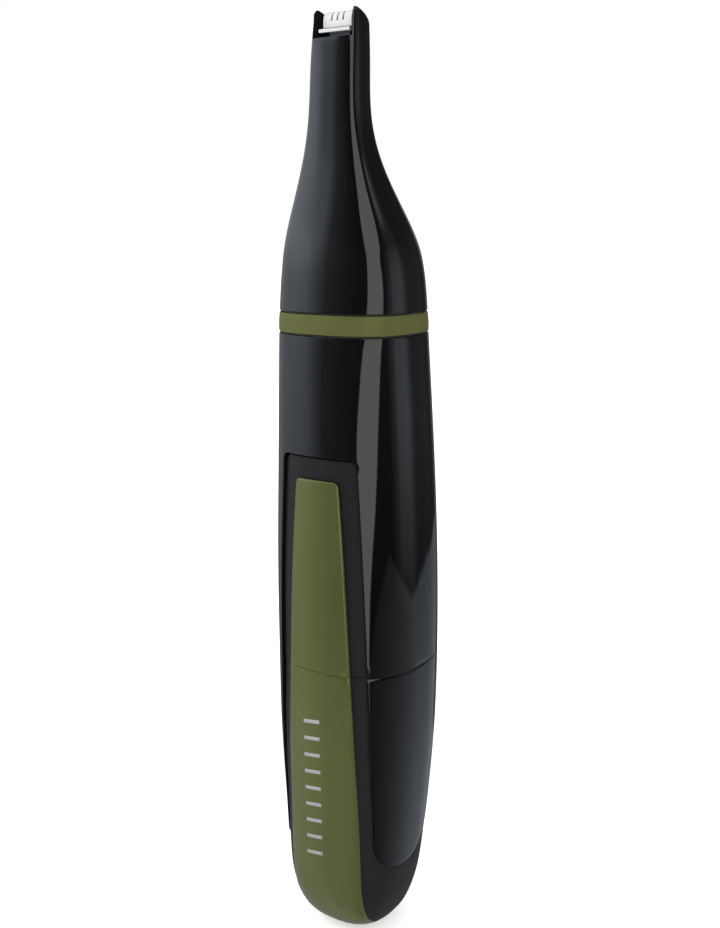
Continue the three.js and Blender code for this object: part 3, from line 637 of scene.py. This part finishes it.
def cover_sides():
    """The glossy side panels: straight front and back edges that a round lower end joins."""
    columns = []
    for u in np.linspace(-1, 1, 49):
        across = 0.7 * math.sin(u * math.pi / 2) + 0.3 * u  # closer together towards the edges
        power = SIDE_ARC_FRONT_POWER if across < 0 else SIDE_ARC_REAR_POWER
        fall = (1 - abs(across) ** power) ** (1 / power)
        columns.append((across, SIDE_ARC_Z - (SIDE_ARC_DROP - LINE) * fall))
    rows = []
    for t in np.linspace(0, 1, 48):
        row = []
        for across, low in columns:
            z = low + (COVER_TOP - low) * t
            upper = max(z, SIDE_ARC_Z)
            front_y = face_y(frame_edge(upper) + LINE, upper, -1)
            rear_y = face_y(rear_edge(upper) + LINE, upper, 1)
            y = (front_y + rear_y) / 2 + across * (rear_y - front_y) / 2
            row.append((side_x(y, z), y, z))
        rows.append(row)
    for side, word in ((1, "right"), (-1, "left")):
        bm = bmesh.new()
        mirrored = [[(side * x, y, z) for x, y, z in row] for row in rows]
        add_grid(bm, mirrored if side > 0 else [row[::-1] for row in mirrored])
        piece = make_object(f"side_panel_{word}", bm, MATERIALS["gloss_black"])
        round_edges(give_thickness(piece, SIDE_WALL), SIDE_EDGE)
        place(piece, "battery_cover", "gloss_black", f"cover_side_{word}")


# ---------------------------------------------------------------- head
RING_WALL, RING_SWELL, RING_EDGE = 1.4, 0.06, 0.12
SHADE_BAND_INNER, SHADE_BAND_OUTER, SHADE_BAND_CROWN = 1.2, 0.16, 0.12  # depths below the skin of the black bands that paint shade into the ring's shut lines


def head_ring():
    bm = bmesh.new()
    low, high = RING_LOW + LINE, RING_HIGH - LINE
    rows = []
    for z in spaced(low, high, 0.3):
        swell = RING_SWELL * math.sin(math.pi * (z - low) / (high - low))
        rows.append([skin(z, a, -swell) for a in FULL_TURN])
    add_grid(bm, rows, wrap=True)
    piece = make_object("colour_ring", bm, RING_OLIVE)
    round_edges(give_thickness(piece, RING_WALL), RING_EDGE)
    place(piece, "head", "olive", "head_ring")


def ring_shade_bands():
    """Thin black bands just inside each shut line of the ring: painted shade that keeps the shut lines dark.
    """
    for name, z in (("lower_shade_band", RING_LOW), ("upper_shade_band", RING_HIGH)):
        bm = bmesh.new()
        half = LINE - 0.02
        low, high = z - half, z + half
        outside = [(low, SHADE_BAND_OUTER), (z, SHADE_BAND_CROWN), (high, SHADE_BAND_OUTER)]
        loop = [(low, SHADE_BAND_INNER), *outside, (high, SHADE_BAND_INNER), (low, SHADE_BAND_INNER)]
        add_grid(bm, [[skin(height, a, depth) for a in FULL_TURN] for height, depth in loop], wrap=True)
        # Painted shade: the bands wear the black rubber so the shut lines read dark.
        piece = make_object(name, bm, MATERIALS["rubber"])
        place(piece, "head", "rubber")


PRONG_CORNER = 3.4  # x of the prongs' front corners, where the wide notch ends
PRONG_FACE = 2.75  # x of the flat inner faces
PRONG_SLANT_Y = -6.6  # the inner face slants forward to the corner from here
PRONG_ROUND = 0.5  # radius of the tops
NECK_WALL, NECK_FOOT_WALL = 0.95, 1.3
NECK_FOOT_EDGE = 0.06  # the foot's outer edge is cut off by this much
NECK_EDGE = 0.07
RIM_DEPTH, FOOT_HEIGHT = 6, 8  # how far the inner faces reach in from the notch and from the foot
TIP_FRONT_REACH, TIP_FRONT_DROP = 1.7, 2.4
TIP_REAR_REACH, TIP_REAR_DROP, TIP_REAR_SLOPE = 4.2, 3.0, 0.12


def tip_height(y):
    """Height of the prongs' top over y: a steep round front and a long round back."""
    if y < TIP_PEAK_Y:
        share = min((TIP_PEAK_Y - y) / TIP_FRONT_REACH, 1.0)
        return TIP_TOP - TIP_FRONT_DROP * (1 - math.sqrt(1 - share**2))
    share = min((y - TIP_PEAK_Y) / TIP_REAR_REACH, 1.0)
    return TIP_TOP - TIP_REAR_DROP * (1 - math.sqrt(1 - share**2)) - TIP_REAR_SLOPE * (y - TIP_PEAK_Y)


def prong_rows(angles):
    """Closed rings up the right-hand prong: its outer side follows the skin, its inner side is flat."""
    top = NOTCH_FLOOR + 2
    front_y, rear_y = (skin(top, a)[1] for a in (angles[0], angles[-1]))
    inner = [(PRONG_FACE, rear_y + (PRONG_SLANT_Y - rear_y) * t) for t in np.linspace(0.06, 1, 12)]
    for t in (0.3, 0.6, 0.9):
        slant = (PRONG_CORNER - PRONG_FACE) * t
        inner.append((PRONG_FACE + slant, PRONG_SLANT_Y + (front_y - PRONG_SLANT_Y) * t))

    def ring(share, inset, lift):
        points = []
        for count in range(len(angles) + len(inner)):
            outside = count < len(angles)
            y = skin(top, angles[count])[1] if outside else inner[count - len(angles)][1]
            z = NOTCH_FLOOR + (tip_height(y) - PRONG_ROUND - NOTCH_FLOOR) * share + lift
            x, y, _ = skin(z, angles[count]) if outside else (*inner[count - len(angles)], z)
            middle = (PRONG_FACE + 0.46, min(max(y, front_y + 0.5), rear_y - 0.5))
            points.append((x + (middle[0] - x) * inset, y + (middle[1] - y) * inset, z))
        return points

    rows = [ring(share, 0, 0) for share in np.linspace(0, 1, 12)]
    for angle in (15, 30, 45, 60, 75, 90):
        a = math.radians(angle)
        rows.append(ring(1, 1 - math.cos(a), PRONG_ROUND * math.sin(a)))
    return rows


def faces_notch(polygon):
    """True for the faces of the prongs that look at each other across the notch."""
    x, _, z = polygon.center / MM
    return z > NOTCH_FLOOR and polygon.normal.x * math.copysign(1, x) < -0.3


def neck_housing():
    bm = bmesh.new()
    low = edge_angle(PRONG_CORNER, NOTCH_FLOOR, -1)
    high = edge_angle(PRONG_FACE + 0.05, NOTCH_FLOOR, 1)
    right = np.linspace(low, high, 41)
    left = math.pi - right[::-1]
    back = np.linspace(right[-1], left[0], 25)[1:-1]
    near = np.linspace(left[-1], right[0] + 2 * math.pi, 25)[1:-1]
    around = [*right, *back, *left, *near]
    heights = spaced(RING_HIGH + LINE, NOTCH_FLOOR, 0.8)
    add_grid(bm, [[skin(z, a) for a in around] for z in heights], wrap=True)
    rim = [(NOTCH_FLOOR, 0), (NOTCH_FLOOR, NECK_WALL), (NOTCH_FLOOR - RIM_DEPTH, NECK_WALL)]
    for side in ([left[-1], *near, right[0] + 2 * math.pi], [right[-1], *back, left[0]]):
        add_grid(bm, [[skin(z, a, depth) for a in side] for z, depth in rim])
    foot_z = RING_HIGH + LINE
    foot = [(foot_z + FOOT_HEIGHT, NECK_FOOT_WALL), (foot_z, NECK_FOOT_WALL), (foot_z, NECK_FOOT_EDGE),
            (foot_z + NECK_FOOT_EDGE, 0)]
    add_grid(bm, [[skin(z, a, depth) for a in around] for z, depth in foot], wrap=True)
    rows = prong_rows(right)
    add_grid(bm, rows, wrap=True)
    add_grid(bm, [[(-x, y, z) for x, y, z in row[::-1]] for row in rows], wrap=True)
    piece = make_object("neck_shell", bm, MATERIALS["gloss_black"])
    # Painted shade: the faces across the notch wear the duller, less reflective black copy.
    piece.data.materials.append(MATERIALS["notch_painted_shade"])
    for polygon in piece.data.polygons:
        polygon.material_index = 1 if faces_notch(polygon) else 0
    place(round_edges(piece, NECK_EDGE, angle=50), "head", "gloss_black", "neck_housing")


# ---------------------------------------------------------------- stage, lights and camera
def stage():
    bm = bmesh.new()
    bmesh.ops.create_circle(bm, cap_ends=True, radius=4000, segments=96)
    material = bpy.data.materials.new("floor")
    material.use_nodes = True
    nodes, links = material.node_tree.nodes, material.node_tree.links
    shader = nodes["Principled BSDF"]
    shader.inputs["Base Color"].default_value = (0.9, 0.9, 0.9, 1)
    shader.inputs["Roughness"].default_value = 1.0
    shader.inputs["Specular IOR Level"].default_value = 0.0
    shader.inputs["Emission Color"].default_value = (1, 1, 1, 1)
    shader.inputs["Emission Strength"].default_value = 0.45
    floor = make_object("floor", bm, material)
    floor.visible_glossy = False


def math_node(tree, operation, *values):
    node = tree.nodes.new("ShaderNodeMath")
    node.operation = operation
    for socket, value in zip(node.inputs, values):
        if isinstance(value, (int, float)):
            socket.default_value = value
        else:
            tree.links.new(value, socket)
    return node.outputs[0]


def profile(tree, value, rows, tallest):
    """A smooth function of an angle in degrees, from (angle, result) rows. No result is over tallest."""
    share = math_node(tree, "MULTIPLY_ADD", value, 1 / 360, 0.5)
    ramp = tree.nodes.new("ShaderNodeValToRGB")
    elements = ramp.color_ramp.elements
    elements.remove(elements[1])
    for count, (angle, result) in enumerate(rows):
        element = elements[0] if count == 0 else elements.new(angle / 360 + 0.5)
        element.position = angle / 360 + 0.5
        element.color = (result / tallest,) * 3 + (1,)
    tree.links.new(share, ramp.inputs["Fac"])
    return math_node(tree, "MULTIPLY", ramp.outputs["Color"], tallest)


def rise_past(tree, value, edge, soft):
    """0 where value is under the edge and 1 where it is over it."""
    beyond = math_node(tree, "SUBTRACT", value, edge)
    node = tree.nodes.new("ShaderNodeMapRange")
    node.interpolation_type = "SMOOTHSTEP"
    node.inputs["From Min"].default_value = -soft
    node.inputs["From Max"].default_value = soft
    tree.links.new(beyond, node.inputs["Value"])
    return node.outputs["Result"]


# What the glossy parts reflect. Angles are in degrees: azimuth from -Y towards +X, elevation up.
# The big soft window on the left: brightness by azimuth, and its share by elevation.
WINDOW = [(-180, 0.3), (-125, 0.35), (-110, 0.9), (-88, 1.35), (-72, 1.85), (-54, 2.3), (-41, 2.1),
          (-37, 1.5), (-34.5, 0.7), (-31, 0.32), (-20, 0.2), (-5, 0.1), (20, 0.03)]
WINDOW_SHARE = [(-40, 0.12), (-28, 0.25), (-12, 0.42), (-5, 0.5), (2, 0.6), (8, 0.88), (13, 0.93), (18, 0.76)]
# The strip light: its left and right sides by elevation.
STRIP_LEFT = [(-27, 39), (-24, 33), (-20, 26), (-11, 20), (-8, 28), (-3, 40), (3, 47.5), (11, 47),
              (25, 33)]
STRIP_RIGHT = [(-27, 39.5), (-24, 42.5), (-20, 44), (-16, 50), (-11, 64), (-3, 86), (3, 88), (11, 84),
               (26, 95)]
STRIP_BRIGHTNESS = 1.85
COOL_DAYLIGHT, WARM_STRIP = (0.93, 1, 1.08, 1), (1.03, 1, 0.94, 1)
# The faint light behind on the right, and the high light above it.
BACK_LIGHT = [(98, 0.03), (112, 0.3), (120, 0.66), (138, 0.58), (147, 0.1), (160, 0.09), (168, 0.03)]
BACK_SHARE = [(-20, 0), (-16, 0.3), (-12, 0.6), (-7, 1), (4, 0.85), (12, 0.55), (16, 0.25)]
HIGH_LIGHT = [(112, 0), (122, 0.7), (128, 0.7), (136, 0)]
HIGH_LIGHT_FROM = 23.0
DARK_ROOM = 0.02
# The table: brightness by azimuth, its share by elevation, and its far edge. A row of the edge holds how far
# the edge lies over TABLE_EDGE_FROM.
TABLE = [(-90, 0.25), (-40, 0.33), (0, 0.4), (30, 0.15), (46, 0.08), (81, 0.2), (119, 0.37), (140, 0.44),
         (165, 0.5)]
TABLE_SHARE = [(-30, 1), (-24, 0.92), (-20, 0.78), (-16, 0.62)]
TABLE_EDGE = [(-180, 64), (40, 65), (62, 70), (90, 74.5), (110, 73.4), (125, 72.4), (137, 71.8), (146, 72.6),
              (153, 74.5), (160, 74.9), (175, 76.4)]
TABLE_EDGE_FROM = -90


def reflected_light(tree, azimuth, elevation):
    """Brightness of what is reflected, and how much of it is the strip light."""
    def product(*values):
        total = values[0]
        for value in values[1:]:
            total = math_node(tree, "MULTIPLY", total, value)
        return total

    window = product(profile(tree, azimuth, WINDOW, 3), profile(tree, elevation, WINDOW_SHARE, 1))
    inside = rise_past(tree, azimuth, profile(tree, elevation, STRIP_LEFT, 180), 1.5)
    outside = rise_past(tree, azimuth, profile(tree, elevation, STRIP_RIGHT, 180), 1.5)
    in_strip = math_node(tree, "SUBTRACT", inside, outside)
    strip_light = product(in_strip, STRIP_BRIGHTNESS)
    back = product(profile(tree, azimuth, BACK_LIGHT, 1), profile(tree, elevation, BACK_SHARE, 1))
    high = product(profile(tree, azimuth, HIGH_LIGHT, 2), rise_past(tree, elevation, HIGH_LIGHT_FROM, 3))
    edge = math_node(tree, "ADD", profile(tree, azimuth, TABLE_EDGE, 180), TABLE_EDGE_FROM)
    below = math_node(tree, "SUBTRACT", 1.0, rise_past(tree, elevation, edge, 0.5))
    table = product(profile(tree, azimuth, TABLE, 1), profile(tree, elevation, TABLE_SHARE, 1), below)
    total = DARK_ROOM
    for light in (window, strip_light, back, high, table):
        total = math_node(tree, "ADD", light, total)
    return total, in_strip


def studio_world():
    world = bpy.data.worlds.new("studio")
    bpy.context.scene.world = world
    world.use_nodes = True
    tree = world.node_tree
    nodes, links = tree.nodes, tree.links
    nodes.clear()
    split = nodes.new("ShaderNodeSeparateXYZ")
    links.new(nodes.new("ShaderNodeTexCoord").outputs["Generated"], split.inputs["Vector"])
    ahead = math_node(tree, "MULTIPLY", split.outputs["Y"], -1.0)
    turn = math_node(tree, "ARCTAN2", split.outputs["X"], ahead)
    azimuth = math_node(tree, "MULTIPLY", turn, 180 / math.pi)
    rise = math_node(tree, "ARCSINE", split.outputs["Z"])
    elevation = math_node(tree, "MULTIPLY", rise, 180 / math.pi)
    brightness, in_strip = reflected_light(tree, azimuth, elevation)
    hue = nodes.new("ShaderNodeMixRGB")
    hue.inputs["Color1"].default_value = COOL_DAYLIGHT
    hue.inputs["Color2"].default_value = WARM_STRIP
    links.new(in_strip, hue.inputs["Fac"])
    reflected = nodes.new("ShaderNodeBackground")
    links.new(hue.outputs["Color"], reflected.inputs["Color"])
    links.new(brightness, reflected.inputs["Strength"])
    plain = nodes.new("ShaderNodeBackground")
    plain.inputs["Color"].default_value = (1, 1, 1, 1)
    path = nodes.new("ShaderNodeLightPath")
    mix = nodes.new("ShaderNodeMixShader")
    links.new(path.outputs["Is Glossy Ray"], mix.inputs["Fac"])
    links.new(plain.outputs["Background"], mix.inputs[1])
    links.new(reflected.outputs["Background"], mix.inputs[2])
    output = nodes.new("ShaderNodeOutputWorld")
    links.new(mix.outputs["Shader"], output.inputs["Surface"])


def area_light(name, azimuth, elevation, distance, size, power):
    """A soft light at an azimuth from -Y towards +X, aimed at the object's middle and never reflected."""
    data = bpy.data.lights.new(name, "AREA")
    data.shape = "RECTANGLE"
    data.size, data.size_y = size
    data.energy = power
    light = bpy.data.objects.new(name, data)
    a, e = math.radians(azimuth), math.radians(elevation)
    way = Vector((math.sin(a) * math.cos(e), -math.cos(a) * math.cos(e), math.sin(e)))
    light.location = Vector((0, 0, 0.07)) + way * distance
    light.rotation_euler = way.to_track_quat("Z", "Y").to_euler()
    light.visible_glossy = False
    light.visible_camera = False
    bpy.context.scene.collection.objects.link(light)


def lights():
    area_light("key", -55, 35, 0.8, (0.5, 0.7), 3.0)
    area_light("fill", 70, 30, 0.9, (0.6, 0.6), 0.8)


CAMERA_AZIMUTH, CAMERA_PITCH = math.radians(33), math.radians(12)
CAMERA_DISTANCE, CAMERA_HEIGHT, CAMERA_SIDESTEP = 169.55, 114.49, 0.49
CAMERA_Y_OFFSET = -0.79
CAMERA_ROLL = math.radians(0.36)
SENSOR_WIDTH, LENS = 36, 42.67


def camera():
    data = bpy.data.cameras.new("camera")
    data.sensor_width = SENSOR_WIDTH
    data.lens = LENS
    data.clip_start = 0.01
    made = bpy.data.objects.new("camera", data)
    s, c = math.sin(CAMERA_AZIMUTH), math.cos(CAMERA_AZIMUTH)
    right = Vector((c, s, 0))
    place_mm = Vector((CAMERA_DISTANCE * s, -CAMERA_DISTANCE * c + CAMERA_Y_OFFSET, CAMERA_HEIGHT))
    made.location = (place_mm + right * CAMERA_SIDESTEP) * MM
    level = math.cos(CAMERA_PITCH)
    forward = Vector((-s * level, c * level, -math.sin(CAMERA_PITCH)))
    level_turn = forward.to_track_quat("-Z", "Y")
    made.rotation_euler = (level_turn @ Quaternion((0, 0, 1), CAMERA_ROLL)).to_euler()
    bpy.context.scene.collection.objects.link(made)
    bpy.context.scene.camera = made


# ---------------------------------------------------------------- the whole
camera()
studio_world()
lights()
stage()
bpy.context.scene.view_settings.view_transform = "Standard"
dress_cad_nodes()
main_housing()
front_frame()
rear_grip()
power_slider()
battery()
cover_boot()
cover_panel()
printed_dashes()
cover_sides()
head_ring()
ring_shade_bands()
neck_housing()
